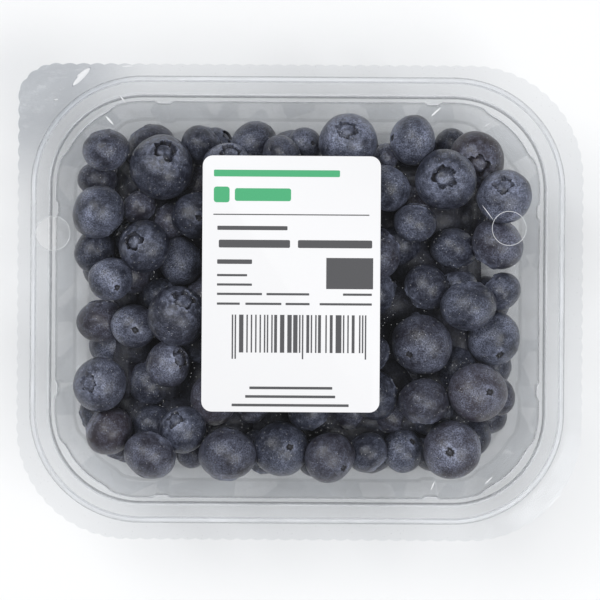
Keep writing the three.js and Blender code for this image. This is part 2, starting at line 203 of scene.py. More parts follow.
# Heap: the berries that can be made out from above, from the highest to the deepest, in millimetres
# from the middle of the tray, with the end that shows and where it is on the berry's disc
HEAP_TOP = 36.4
CROWN, STEM = "crown", "stem"
SEEN_LEVELS = (
    (0, (
        (-36.5, 35.2, 17.6, CROWN, 0.16, 0.57),
        (-18.9, 35.5, 13.3, CROWN, 0.2, 0.64),
        (13.3, 42.3, 15.5, CROWN, -0.08, 0.42),
        (39.3, 32.4, 16.5, CROWN, -0.13, 0.05),
        (55.4, 28, 14.7, CROWN, -0.09, 0.48),
        (20.5, 12.7, 14.9),
        (45.5, -1.3, 15.7),
        (33.8, -26.8, 13.6),
        (48.2, -24.3, 16, STEM, 0.42, 0.03),
        (8.9, -42, 13.9, STEM, 0.6, -0.42),
        (-18.4, -41.1, 15.5),
        (-39.1, -41.6, 14.1),
        (-52.6, -22.9, 14.7, CROWN, -0.44, 0.12),
        (-31.9, -4.3, 16.5, CROWN, 0.3, 0.62),
        (-49.9, 5.3, 12, STEM, 0.4, -0.47),
        (-40.9, 14.1, 14.1, CROWN, -0.45, 0.2),
    )),
    (2.5, (
        (-51.6, 40, 12.8),
        (-4.3, 38.7, 11.2),
        (30.5, 42.9, 13.3),
        (48.5, 38.7, 15.2, CROWN, 0.05, -0.25),
        (23.5, 30.1, 13.3),
        (31.2, 20.8, 11.5),
        (34.5, 3.7, 12.8),
        (52.7, -9.9, 14.7, STEM, 0.21, -0.65),
        (33.3, -11.7, 16.5, STEM, -0.53, -0.37),
        (20.1, -14.1, 10.1),
        (20.4, -25.1, 13.9),
        (41.5, -39.7, 15.7, STEM, -0.14, -0.04),
        (18.9, -40.5, 11.2),
        (-4.1, -39.7, 14.9, STEM, 0.38, 0.13),
        (-30.3, -34.7, 12.8, CROWN, -0.36, 0.54),
        (-50, -35.2, 13.3),
        (-34.4, -17.3, 12.3, CROWN, 0.68, 0.3),
        (-43.6, -7.2, 12, STEM, 0.12, -0.2),
        (-54.3, -5.9, 13.3),
        (-53.4, 23.2, 14.9),
        (-27.3, 22.4, 12.8, STEM, 0.2, -0.15),
        (-22.3, -26.7, 13.9),
        (-11.3, -27.2, 11.7),
        (14, -28.8, 11.7),
    )),
    (6, (
        (-39.5, 40.8, 13.9),
        (-26, 41.1, 11.7),
        (-12, 41.3, 13.3),
        (1.6, 41.3, 9.6, STEM, 0.5, 0.1),
        (41.2, 42.4, 11.2),
        (53.5, 15.2, 14.4),
        (54.8, 2.7, 10.7),
        (28.4, -40, 11.7, STEM, 0.45, 0.5),
        (-39.3, -22.4, 12.8),
        (-54.1, 12.8, 11.7),
        (3.3, -29.3, 11.7),
    )),
    (10, (
        (23.1, 38.1, 8.5),
        (41.5, 14.1, 12.8),
        (47.3, -36, 10.7),
        (-27.9, -40.5, 9.3),
        (-54.8, 32, 10.7),
        (-42.5, 24.5, 9.6),
        (-31.3, 10.1, 12.8),
        (-54.8, 8.5, 11.7),
        (-49.5, -12, 12),
        (-54, -30.7, 10.7),
        (52.7, -17.3, 11.7),
    )),
)

# Packing: where the unseen berries start, in millimetres, and how close berries may come, as a
# share of their two radii
FILL_SEED = 7
FILL_LAYERS = (8, 17.5, 27.5)
FILL_ROWS = 9
FILL_COLUMNS = 10
FILL_CENTRE = (4.75, 4)
FILL_PITCH = 12.4
FILL_ROW_PITCH = 0.9
FILL_DEPTH = 12
FILL_JITTER = 4
FILL_DIAMETER = (11, 16)
FILL_ROUNDS = 60
FILL_CLEAR = 0.68
FILL_SQUEEZE = 0.84
TOUCH = 0.93
WALL_GAP = 0.9
FLOOR_GAP = 0.4
FLOOR_SHEET = 0.6
SEEN_GAP = 0.2

# Berries: their height as a share of their width, how much both vary, how high and how fine their
# lumps are, and how far painted shade dims the bloom of each level and of the unseen ones
BERRY_FLATNESS = 0.88
HEIGHT_SPREAD = 0.05
WIDTH_SPREAD = 0.03
LUMPS = ((0.045, 1.1), (0.015, 2.7))
LEVEL_SHADE_FACTORS = (1, 0.9, 0.65, 0.5)
DEEP_SHADE_FACTOR = 0.37
LOOKS_SEED = 41
# Faces from crown to scar and round a berry, on those that show and on the unseen ones
BODY_STEPS = (18, 10)
ROUND_STEPS = (50, 24)
# Kinds of berry: radius of the crown, how deep it is, and radius of the scar, in berry radii
BERRY_KINDS = (
    (0.37, 1, 0.13),
    (0.41, 0.8, 0.15),
    (0.33, 0.45, 0.14),
    (0.38, 0.9, 0.12),
    (0.36, 0.6, 0.13),
)
# A crown in rings from its middle outwards: share of its radius, height over the skin in berry
# radii, how much of the five lobes the ring takes, how dark it is, with the pit's own dark rim and a
# painted shadow, and how pale its bloom is
CROWN_RINGS = (
    (0.14, -0.075, 0.0, 0.3, 0.5),
    (0.32, -0.065, 0.0, 0.1, 0.6),
    (0.52, -0.075, 0.1, 0.1, 0.6),
    (0.66, -0.120, 0.4, 0.6, 0.1),
    (0.76, -0.190, 0.7, 0.9, 0.0),
    (0.86, -0.150, 0.9, 1.0, 0.0),
    (0.94, -0.040, 1.0, 0.7, 0.0),
    (1.01, 0.035, 1.0, 0.0, 1.0),
    (1.10, 0.030, 1.0, 0.0, 1.0),
    (1.25, -0.004, 0.7, 0.0, 0.6),
    (1.55, -0.006, 0.3, 0.0, 0.6),
)
# The scar in rings from its edge inwards, with the same measures but for the lobes
SCAR_RINGS = (
    (1.90, 0.000, 0.0, 0.4),
    (1.35, 0.008, 0.0, 0.8),
    (1.05, 0.004, 0.3, 0.6),
    (0.85, -0.03, 1.0, 0.0),
    (0.50, -0.055, 0.9, 0.0),
    (0.20, -0.05, 0.6, 0.2),
)

# Core: the body deep in the heap, darkened with painted shade, with a dome for every berry that it
# stands for
CORE_INSET = 21 * MM
CORE_LOW = 14 * MM
CORE_SHEET = 3 * MM
CORE_CELL = 1.1 * MM
CORE_FADE = 5 * MM
DOME_RADIUS = 7 * MM
DOME_PITCH = 12.8 * MM
DOME_STRAY = 2 * MM
STRAY_LENGTH = 16 * MM

# View and light
VIEW_WIDTH = 160 * MM
VIEW_HEIGHT = 750 * MM
VIEW_LIFT = 0.64 * MM
VIEW_ROLL = math.radians(0.37)
SENSOR = 36
FLOOR_SIZE = 6
FLOOR_DROP = 0.2 * MM
LIGHT_SIZE = 1.3
LIGHTS = (("key_light", (-0.95, 0.85, 2.1), 35), ("fill_light", (0.95, -0.7, 2.1), 34))
ROOM_LIGHT = 0.18
ROOM_TINT = (0.95, 0.97, 1, 1)
FLOOR_TINTS = ((0.89, 0.895, 0.9, 1), (0.92, 0.925, 0.93, 1))


def length(name, description, default):
    """A length that a user may change."""
    return FloatProperty(name=name, description=description, default=default, unit="LENGTH")


def colour(name, description, default):
    """A colour that a user may change."""
    return FloatVectorProperty(name=name, description=description, default=default, subtype="COLOR")


class PunnetSizes(bpy.types.PropertyGroup):
    """Sizes of the punnet that a user may change"""

    rim_length: length("Rim length", "Length of the tray over its rim", TRAY_HIGH.x - TRAY_LOW.x)
    rim_width: length("Rim width", "Width of the tray over its rim", TRAY_HIGH.y - TRAY_LOW.y)
    tray_height: length("Tray height", "Height of the flange over the table", TRAY_HIGH.z)
    film_length: length("Film length", "Length of the film over its teeth", FILM_HIGH.x - FILM_LOW.x)
    film_width: length("Film width", "Width of the film over its teeth", FILM_HIGH.y - FILM_LOW.y)
    label_length: length("Label length", "Length from head to foot", LABEL_HIGH.y - LABEL_LOW.y)
    label_width: length("Label width", "Width of the label", LABEL_HIGH.x - LABEL_LOW.x)


class PunnetColours(bpy.types.PropertyGroup):
    """Colours of the punnet that a user may change"""

    bare_skin: colour("Bare skin", "A berry where its bloom is rubbed off", (0.011, 0.0125, 0.024))
    bloom: colour("Bloom", "The wax on a berry where it is thick", (0.49, 0.535, 0.72))
    paper: colour("Paper", "The label's paper", (0.862, 0.862, 0.874))
    green_ink: colour("Green ink", "The green print on the label", (0.04, 0.35, 0.145))
    dark_ink: colour("Dark ink", "The dark print on the label", (0.052, 0.052, 0.057))


# Modelling helpers


def deselect_all():
    """Leaves nothing selected, in object mode."""
    if bpy.context.object and bpy.context.object.mode != "OBJECT":
        bpy.ops.object.mode_set(mode="OBJECT")
    bpy.ops.object.select_all(action="DESELECT")


def select_only(piece):
    """Makes one piece the selected and active one."""
    deselect_all()
    piece.select_set(True)
    bpy.context.view_layer.objects.active = piece


def named(name):
    """The active piece, under a name of its own."""
    piece = bpy.context.object
    piece.name = piece.data.name = name
    return piece


def edit_all():
    """Enters edit mode with everything selected."""
    bpy.ops.object.mode_set(mode="EDIT")
    bpy.ops.mesh.select_all(action="SELECT")


def close_edit():
    """Turns all faces outwards and leaves edit mode."""
    bpy.ops.mesh.select_all(action="SELECT")
    bpy.ops.mesh.normals_make_consistent(inside=False)
    bpy.ops.object.mode_set(mode="OBJECT")


def fix_place():
    """Makes the place, turn and scale of the active piece part of its mesh."""
    bpy.ops.object.transform_apply(location=True, rotation=True, scale=True)


def grid_sheet(name, size, cell, margin, middle):
    """A flat sheet of cells that reaches over its size by a margin."""
    deselect_all()
    bpy.ops.mesh.primitive_grid_add(
        x_subdivisions=round(size[0] / cell),
        y_subdivisions=round(size[1] / cell),
        size=1,
        location=middle,
    )
    sheet = named(name)
    sheet.scale = (size[0] + 2 * margin, size[1] + 2 * margin, 1)
    fix_place()
    return sheet


def extruded_rings(name, rings, close_first, close_last):
    """Leads a circle to the first ring and extrudes it from ring to ring."""
    deselect_all()
    count = len(rings[0])
    bpy.ops.mesh.primitive_circle_add(vertices=count, radius=1)
    piece = named(name)
    edit_all()
    edge = list(range(count))
    place_ring(piece, edge, rings[0])
    if close_first:
        bpy.ops.mesh.edge_face_add()
        select_ring(piece, edge)
    for ring in rings[1:]:
        bpy.ops.mesh.extrude_edges_move()
        edge = next_ring(piece, edge)
        place_ring(piece, edge, ring)
    if close_last:
        bpy.ops.mesh.edge_face_add()
    close_edit()
    return piece


def place_ring(piece, edge, ring):
    """Moves the vertices of a ring to their places."""
    mesh = bmesh.from_edit_mesh(piece.data)
    mesh.verts.ensure_lookup_table()
    for index, place in zip(edge, ring):
        mesh.verts[index].co = place
    bmesh.update_edit_mesh(piece.data)


def next_ring(piece, edge):
    """The vertices that an extrusion has added, in the order of the ring before."""
    mesh = bmesh.from_edit_mesh(piece.data)
    mesh.verts.ensure_lookup_table()
    found = []
    for index in edge:
        for link in mesh.verts[index].link_edges:
            other = link.other_vert(mesh.verts[index])
            if other.select:
                found.append(other.index)
    return found


def select_ring(piece, edge):
    """Selects the edges of one ring alone."""
    mesh = bmesh.from_edit_mesh(piece.data)
    mesh.verts.ensure_lookup_table()
    wanted = set(edge)
    for part in (*mesh.verts, *mesh.edges, *mesh.faces):
        part.select = False
    for link in mesh.edges:
        if all(vert.index in wanted for vert in link.verts):
            link.select_set(True)
    bmesh.update_edit_mesh(piece.data)


def face_upwards(piece):
    """Turns the faces of an open sheet to the side of its first face that looks up."""
    first = max(piece.data.polygons, key=lambda face: abs(face.normal.z) * face.area)
    if first.normal.z < 0:
        select_only(piece)
        edit_all()
        bpy.ops.mesh.flip_normals()
        bpy.ops.object.mode_set(mode="OBJECT")


def apply_modifier(piece, kind, **settings):
    """Adds a modifier, sets it and applies it."""
    select_only(piece)
    modifier = piece.modifiers.new(kind.title(), kind)
    for key, value in settings.items():
        setattr(modifier, key, value)
    bpy.ops.object.modifier_apply(modifier=modifier.name)


def smooth_by_angle(piece, degrees):
    """Shades a piece smooth but for its sharp bends."""
    select_only(piece)
    bpy.ops.object.shade_smooth_by_angle(angle=math.radians(degrees))


def joined(pieces, name):
    """Joins pieces into one."""
    deselect_all()
    for piece in pieces:
        piece.select_set(True)
    bpy.context.view_layer.objects.active = pieces[0]
    bpy.ops.object.join()
    return named(name)


def marked(piece, **marks):
    """Gives the vertices marks for the material to read: one value for all, or a list of values."""
    for kind, values in marks.items():
        layers = piece.data.attributes
        layer = layers.get(kind) or layers.new(kind, "FLOAT", "POINT")
        if not isinstance(values, list):
            values = [values] * len(piece.data.vertices)
        layer.data.foreach_set("value", values)
    return piece


def finished(piece, finish, slot, *nodes):
    """Gives a piece its material and its place in the frame."""
    piece.data.materials.clear()
    piece.data.materials.append(finish)
    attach(piece, "root")
    if nodes:
        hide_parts(*nodes)


# Material helpers


class Socket:
    """A value in a material, on which an expression adds its Math nodes."""

    def __init__(self, finish, socket):
        self.finish = finish
        self.socket = socket

    def math(self, operation, first, second):
        """Adds one Math node."""
        return self.finish.node("ShaderNodeMath", {"operation": operation}, {0: first, 1: second})

    def __add__(self, other):
        return self.math("ADD", self, other)

    __radd__ = __add__

    def __mul__(self, other):
        return self.math("MULTIPLY", self, other)

    __rmul__ = __mul__

    def __pow__(self, other):
        return self.math("POWER", self, other)

    def __lt__(self, other):
        return self.math("LESS_THAN", self, other)

    def held(self):
        """The value, kept between 0 and 1."""
        return self.finish.node("ShaderNodeClamp", {}, {0: self})


class Finish:
    """A material that is built node by node."""

    def __init__(self, name):
        self.material = bpy.data.materials.new(name)
        self.material.use_nodes = True
        self.tree = self.material.node_tree
        self.tree.nodes.clear()
        self.place = self.node("ShaderNodeTexCoord", {}, {}, "Object")

    def node(self, kind, settings, inputs, output=0):
        """Adds a node with its settings and inputs, and gives one of its outputs."""
        made = self.tree.nodes.new(kind)
        for key, value in settings.items():
            if key == "stops":
                self.set_stops(made, value)
            else:
                setattr(made, key, value)
        for key, value in inputs.items():
            if isinstance(value, Socket):
                self.tree.links.new(value.socket, made.inputs[key])
            else:
                made.inputs[key].default_value = value
        return Socket(self, made.outputs[output]) if made.outputs else None

    def set_stops(self, ramp, stops):
        """Sets the stops of a colour ramp."""
        elements = ramp.color_ramp.elements
        while len(elements) < len(stops):
            elements.new(1)
        for element, (position, grey) in zip(elements, stops):
            element.position = position
            element.color = (grey, grey, grey, 1)

    def stretched(self, stretch):
        """The place on the piece, stretched where a stretch is given."""
        if stretch is None:
            return self.place
        return self.node("ShaderNodeMapping", {}, {0: self.place, 3: stretch})

    def noise(self, size, detail=2, roughness=0.5, stretch=None):
        """Noise with features of a size in metres."""
        inputs = {"Scale": 1 / size, "Detail": detail, "Roughness": roughness}
        inputs["Vector"] = self.stretched(stretch)
        return self.node("ShaderNodeTexNoise", {}, inputs)

    def cells(self, size, stretch=None, output="Distance"):
        """Cells of a size in metres: how far it is to a cell's middle, or a chance value for each."""
        inputs = {"Vector": self.stretched(stretch), "Scale": 1 / size}
        return self.node("ShaderNodeTexVoronoi", {}, inputs, output)

    def ramp(self, value, *stops):
        """A value led through a ramp of greys."""
        return self.node("ShaderNodeValToRGB", {"stops": stops}, {0: value})

    def mix(self, factor, first, second):
        """A mix of two colours."""
        settings = {"data_type": "RGBA"}
        return self.node("ShaderNodeMix", settings, {0: factor, 6: first, 7: second}, 2)

    def attribute(self, name):
        """A value that the mesh carries."""
        return self.node("ShaderNodeAttribute", {"attribute_name": name}, {}, "Fac")

    def slant(self):
        """How far the surface turns away from the viewer, from 0 to 1."""
        return self.node("ShaderNodeLayerWeight", {}, {"Blend": 0.5}, "Facing")

    def bump(self, height, distance):
        """A bumped normal from a height."""
        return self.node("ShaderNodeBump", {}, {"Height": height, "Distance": distance})

    def tint(self, colour):
        """Lets light through in a colour."""
        return self.node("ShaderNodeBsdfTransparent", {}, {"Color": colour})

    def principled(self, **inputs):
        """The main shader, with its inputs named in words."""
        words = {key.replace("_", " ").title(): value for key, value in inputs.items()}
        return self.node("ShaderNodeBsdfPrincipled", {}, words)

    def shader_mix(self, factor, first, second):
        """A mix of two shaders, by a factor that is kept between 0 and 1."""
        return self.node("ShaderNodeMixShader", {}, {0: factor.held(), 1: first, 2: second})

    def mirrored(self, through, wave, depth, roughness, least, most):
        """Clear plastic that mirrors a little in waves, and more where it turns away."""
        bumped = self.bump(self.noise(wave), depth)
        mirror = self.principled(
            base_color=MIRROR_TINT, metallic=1, roughness=roughness, normal=bumped
        )
        return self.shader_mix(least + most * self.slant() ** 5, through, mirror)

    def done(self, surface):
        """Ends the material and gives it."""
        self.node("ShaderNodeOutputMaterial", {}, {"Surface": surface})
        return self.material


def rgba(colour):
    """A colour with its alpha."""
    return (*colour, 1)


# Tray


def tray_stations():
    """One walk round the tray: quarter, angle or way along a side, and how far it is drawn in."""
    stations = []
    for quarter in range(4):
        for step in range(CORNER_STEPS + 1):
            turn = step / CORNER_STEPS
            tuck = CORNER_TUCK * soft_step((turn - TUCK_FROM) / TUCK_FADE)
            tuck *= soft_step((1 - TUCK_FROM - turn) / TUCK_FADE)
            stations.append((quarter, (quarter + turn) * math.pi / 2, None, tuck))
        for along in side_places(LUG_FROM_MIDDLE[quarter % 2]):
            lug = LUG_FROM_MIDDLE[quarter % 2]
            away = min(abs(along - lug), abs(along + lug))
            tuck = LUG_DEPTH * soft_step((LUG_HALF - away) / (LUG_HALF * 0.5))
            stations.append((quarter, None, along, tuck))
    return stations


def soft_step(value):
    """Rises smoothly from 0 to 1."""
    value = min(max(value, 0), 1)
    return value * value * (3 - 2 * value)


def side_places(lug):
    """Where the stations are along a side: close together at its two lugs."""
    fine = [step * LUG_HALF / 5 for step in range(-5, 6)]
    middles = int(2 * (lug - LUG_HALF) / SIDE_STEP)
    gap = 2 * (lug - LUG_HALF) / middles
    between = [-lug + LUG_HALF + gap * step for step in range(1, middles)]
    return [-lug + part for part in fine] + between + [lug + part for part in fine]


def station_place(sizes, station, inset, z, tucked):
    """The place of a station on the outline that lies inset from the rim."""
    quarter, angle, along, tuck = station
    half = (sizes.rim_length / 2 - inset, sizes.rim_width / 2 - inset)
    radius = RIM_RADIUS - inset
    depth = tuck * tucked
    if angle is not None:
        out_x = 1 if quarter in (0, 3) else -1
        out_y = 1 if quarter in (0, 1) else -1
        x = out_x * (half[0] - radius) + (radius - depth) * math.cos(angle)
        y = out_y * (half[1] - radius) + (radius - depth) * math.sin(angle)
    else:
        facing = (quarter + 1) % 4
        normal = ((1, 0), (0, 1), (-1, 0), (0, -1))[facing]
        away = half[facing % 2] - depth
        x = normal[0] * away - normal[1] * along
        y = normal[1] * away + normal[0] * along
    return Vector((TRAY_MIDDLE.x + x, TRAY_MIDDLE.y + y, z))


def rounded_section(corners):
    """A section whose corners are rounded.

    Each corner has its inset, height, lug share, radius, the painted shade of its bend, how much of
    the painted shade of the upper wall it has and how much painted highlight its edge gets.
    """
    section = []
    for index, (inset, z, lug, radius, *looks) in enumerate(corners):
        here = Vector((inset, z))
        if radius == 0 or index in (0, len(corners) - 1):
            section.append((inset, z, lug, *looks))
            continue
        before = Vector(corners[index - 1][:2]) - here
        after = Vector(corners[index + 1][:2]) - here
        back = min(radius, ROUND_LIMIT * before.length, ROUND_LIMIT * after.length)
        start = here + before.normalized() * back
        end = here + after.normalized() * back
        for step in range(BEND_STEPS + 1):
            part = step / BEND_STEPS
            point = start.lerp(here, part).lerp(here.lerp(end, part), part)
            section.append((point.x, point.y, lug, *looks))
    return section


def tray_section(sizes):
    """The tray's upper skin from the raised panel of its base out to its lip."""
    top = sizes.tray_height
    wall_top = FLANGE_WIDTH + LEDGE_WIDTH
    ledge_z = top - LEDGE_DROP
    band_foot = wall_top + BAND_DRAFT
    step_z = ledge_z - BAND_HEIGHT
    wall_foot = band_foot + STEP_WIDTH + WALL_DRAFT
    floor_z = TRAY_SHEET
    panel = wall_foot + FOOT_ROUND + FOOT_WIDTH
    line = band_foot + STEP_WIDTH + 1 * MM
    corners = (
        (panel + PANEL_RISE + 4 * MM, floor_z + PANEL_RISE, 0, 0, 0, 0, 0),
        (panel + PANEL_RISE, floor_z + PANEL_RISE, 0, 0.8 * MM, 0, 0, 0),
        (panel, floor_z, 0, 0.8 * MM, 0, 0, 0),
        (wall_foot + 1.7 * MM, floor_z, 0.7, 0, 0, 0, 0),
        (wall_foot + 0.5 * MM, floor_z, 0.7, 1.2 * MM, 0.1, 0.1, 0),
        (line + 0.3 * MM, LINE_HEIGHT - 2 * MM, 0.9, 0, 0, 0.5, 0),
        (line, LINE_HEIGHT, 1, 0, 0.6, 0.6, 0),
        (line - 0.3 * MM, LINE_HEIGHT + 2 * MM, 1, 0, 0, 0.8, 0),
        (band_foot + STEP_WIDTH, step_z - STEP_HEIGHT / 2, 1, 2 * MM, 0, 1, 0),
        (band_foot, step_z + STEP_HEIGHT / 2, 1, 2 * MM, 0, 1, 0),
        (wall_top + 0.35 * MM, ledge_z - 2.5 * MM, 1, 0, 0, 1, 0),
        (wall_top, ledge_z, 1, 0.25 * MM, 0.7, 0, 0),
        (wall_top - 0.3 * MM, ledge_z, 0.8, 0, 0, 0, 0.55),
        (wall_top - 0.6 * MM, ledge_z, 0.8, 0, 0, 0, 0),
        (FLANGE_WIDTH + 0.55 * MM, ledge_z, 0, 0, 0, 0, 0),
        (FLANGE_WIDTH + 0.3 * MM, ledge_z + 0.05 * MM, 0, 0.15 * MM, 1, 0, 0),
        (FLANGE_WIDTH, top, 0, 0.2 * MM, 0.2, 0, 0.3),
        (FLANGE_WIDTH - 0.3 * MM, top, 0, 0, 0, 0, 0.7),
        (FLANGE_WIDTH - 0.6 * MM, top, 0, 0, 0, 0, 0),
        (LIP_WIDTH + 0.7 * MM, top, 0, 0, 0, 0, 0),
        (LIP_WIDTH + 0.35 * MM, top, 0, 0.15 * MM, 0.3, 0, 0.2),
        (LIP_WIDTH, top - BEAD_DROP, 0, 0.15 * MM, 0, 0, 0.9),
        (0.6 * MM, top - BEAD_DROP, 0, 0.2 * MM, 0, 0, 0.8),
        (0.25 * MM, top - BEAD_DROP - 0.2 * MM, 0, 0.15 * MM, 0.6, 0, 0),
        (0, top - LIP_DROP, 0, 0, 0.5, 0, 0),
    )
    return rounded_section(corners)


def tray_finish():
    """Clear plastic: it lets light through, with painted shade on its upper wall and at its bends and
    a painted highlight along its lip and ledge.
    """
    finish = Finish("tray_plastic")
    # Painted shade: the upper wall greys as it turns away, and more in patches below
    wall = finish.attribute("wall") * finish.slant() ** 2
    through = finish.shader_mix(wall, finish.tint(TRAY_CLEAR), finish.tint(TRAY_SLANT))
    # Painted shade: dark lines at the bends
    through = finish.shader_mix(0.6 * finish.attribute("bend"), through, finish.tint(TRAY_BEND_SHADE))
    shade_patches = finish.ramp(finish.cells(6 * MM, (1, 1, 0.12), "Color"), (0.4, 0), (0.42, 1))
    through = finish.shader_mix(wall * (0.3 + 0.7 * shade_patches), through, finish.tint(TRAY_WALL_SHADE))
    shown = finish.mirrored(through, 7 * MM, 0.05 * MM, 0.05, 0.035, 0.18)
    # Painted highlight: pale haze along the lip and ledge edges, in clouds
    haze = finish.principled(base_color=TRAY_HIGHLIGHT_TINT, roughness=0.4)
    cloud = finish.ramp(finish.noise(14 * MM), (0.35, 0.5), (0.6, 1))
    white = 0.004 + 0.95 * finish.attribute("shine") * cloud
    return finish.done(finish.shader_mix(white, shown, haze))


class PUNNET_OT_tray(bpy.types.Operator):
    """Models the clear tray with its foot, wall, ledge, flange and lip"""

    bl_idname = "punnet.tray"
    bl_label = "Tray"

    def execute(self, context):
        sizes = context.scene.punnet_sizes
        stations = tray_stations()
        rings = []
        section = tray_section(sizes)
        for inset, z, lug, *_ in section:
            rings.append([station_place(sizes, station, inset, z, lug) for station in stations])
        tray = extruded_rings("tray_clear", rings, True, False)
        # The last three columns carry painted shade at the bends and on the upper wall, and a painted
        # highlight on the edges
        bend, wall, shine = ([row[look] for row in section for _ in stations] for look in (3, 4, 5))
        marked(tray, bend=bend, wall=wall, shine=shine)
        face_upwards(tray)
        apply_modifier(tray, "SOLIDIFY", thickness=TRAY_SHEET, offset=-1, use_even_offset=True)
        smooth_by_angle(tray, 40)
        finished(tray, tray_finish(), "tray_plastic", "tray")
        return {"FINISHED"}


# Film


def film_cut(sizes):
    """The film's cut before its teeth, as close points: three round corners and a square tab."""
    x = sizes.film_length / 2
    y = sizes.film_width / 2
    in_x = x - FILM_CORNER
    in_y = y - FILM_CORNER
    cut = [Vector((-x, y - TAB_CUT[1]))]
    for quarter, middle in ((2, (-in_x, -in_y)), (3, (in_x, -in_y)), (0, (in_x, in_y))):
        for step in range(CUT_STEPS + 1):
            angle = (quarter + step / CUT_STEPS) * math.pi / 2
            out = Vector((math.cos(angle), math.sin(angle)))
            cut.append(Vector(middle) + FILM_CORNER * out)
    start = Vector((-x + TAB_CUT[0], y))
    bend = Vector((-x + TAB_CUT[0] * TAB_BEND[0], y - TAB_CUT[1] * TAB_BEND[1]))
    for step in range(TAB_STEPS):
        part = step / TAB_STEPS
        cut.append(start.lerp(bend, part).lerp(bend.lerp(cut[0], part), part))
    return cut


def toothed(cut):
    """The cut with its row of small round teeth."""
    closed = cut + [cut[0]]
    runs = [(b - a).length for a, b in zip(closed, closed[1:])]
    length = sum(runs)
    teeth = round(length / TOOTH_PITCH)
    points = []
    index, passed = 0, 0
    for step in range(teeth * POINTS_PER_TOOTH):
        along = length * step / (teeth * POINTS_PER_TOOTH)
        while passed + runs[index] < along:
            passed += runs[index]
            index += 1
        ahead = (closed[index + 1] - closed[index]).normalized()
        place = closed[index] + ahead * (along - passed)
        part = step % POINTS_PER_TOOTH / POINTS_PER_TOOTH
        inwards = Vector((-ahead.y, ahead.x))
        points.append(place + inwards * TOOTH_DEPTH * (1 - math.sin(math.pi * part)))
    return points


def depth_in_rim(sizes, x, y):
    """How far a place is inside the tray's rim."""
    off_x = abs(x - TRAY_MIDDLE.x) - sizes.rim_length / 2 + RIM_RADIUS
    off_y = abs(y - TRAY_MIDDLE.y) - sizes.rim_width / 2 + RIM_RADIUS
    if off_x > 0 and off_y > 0:
        return RIM_RADIUS - math.hypot(off_x, off_y)
    return RIM_RADIUS - max(off_x, off_y)


def film_rise(sizes, x, y):
    """How far the film stands over or under its level: it ripples between the flange and the label."""
    inside = soft_step((depth_in_rim(sizes, x, y) - FLANGE_WIDTH) / FILM_SETTLE)
    off_x = abs(x - LABEL_MIDDLE.x) - sizes.label_width / 2
    off_y = abs(y - LABEL_MIDDLE.y) - sizes.label_length / 2
    beside = soft_step((max(off_x, off_y) - LABEL_MARGIN) / LABEL_SETTLE)
    ripple = 0
    for long, wide, level, share in FILM_WAVES:
        ripple += share * noise.noise(Vector((x / long, y / wide, level)))
    outside = max(0, -depth_in_rim(sizes, x, y))
    return FILM_RIPPLE * ripple * inside * beside - FILM_DROOP * outside


def prism(name, outline, low, high):
    """A closed upright solid over an outline."""
    rings = [[Vector((point.x, point.y, z)) for point in outline] for z in (low, high)]
    return extruded_rings(name, rings, True, True)


def cut_with(piece, cutter, operation):
    """Cuts or trims a piece with another, which goes."""
    apply_modifier(piece, "BOOLEAN", operation=operation, object=cutter, solver="EXACT")
    bpy.data.objects.remove(cutter)


def film_finish():
    """Clear film with a slight haze, fine sparkling specks and scuffs at the tab."""
    finish = Finish("lidding_film")
    tab = finish.attribute("tab")
    clear = finish.shader_mix(0.9 * tab, finish.tint(FILM_CLEAR), finish.tint(FILM_TAB))
    shown = finish.mirrored(clear, 9 * MM, 0.1 * MM, 0.12, 0.028, 0.8)
    haze = finish.principled(base_color=FILM_HAZE, roughness=0.5)
    specks = finish.cells(0.95 * MM) < 0.085
    streaks = finish.ramp(finish.noise(3 * MM, 3, 0.65, (1, 2.4, 1)), (0.52, 0), (0.72, 1))
    white = 0.001 + 0.5 * specks + 0.1 * tab * streaks + 0.75 * finish.attribute("edge")
    return finish.done(finish.shader_mix(white, shown, haze))


def keep_upper_skin(sheet):
    """Leaves of a cut sheet the upper skin alone, as the film is far thinner than its cells."""
    select_only(sheet)
    bpy.ops.object.mode_set(mode="EDIT")
    mesh = bmesh.from_edit_mesh(sheet.data)
    for face in mesh.faces:
        face.select_set(face.normal.z < 0.5)
    bmesh.update_edit_mesh(sheet.data)
    bpy.ops.mesh.delete(type="FACE")
    bpy.ops.object.mode_set(mode="OBJECT")


def hole_rim(middle, z):
    """The fine raised edge that the punch leaves round a hole."""
    deselect_all()
    bpy.ops.mesh.primitive_torus_add(
        location=(middle[0], middle[1], z),
        major_radius=HOLE_RADIUS + HOLE_RIM_OFF,
        minor_radius=HOLE_RIM,
        major_segments=72,
        minor_segments=8,
    )
    fix_place()
    return marked(bpy.context.object, edge=0.7)


def crease(start, end, width, z):
    """A short slim fold in the film."""
    start, end = Vector(start) * MM, Vector(end) * MM
    middle = (start + end) / 2
    along = end - start
    deselect_all()
    bpy.ops.mesh.primitive_uv_sphere_add(segments=16, ring_count=8, radius=1)
    fold = bpy.context.object
    fold.scale = (along.length / 2, width * MM / 2, CREASE_HEIGHT)
    fold.rotation_euler = (0, 0, math.atan2(along.y, along.x))
    fold.location = (middle.x, middle.y, z)
    fix_place()
    return marked(fold, edge=1)


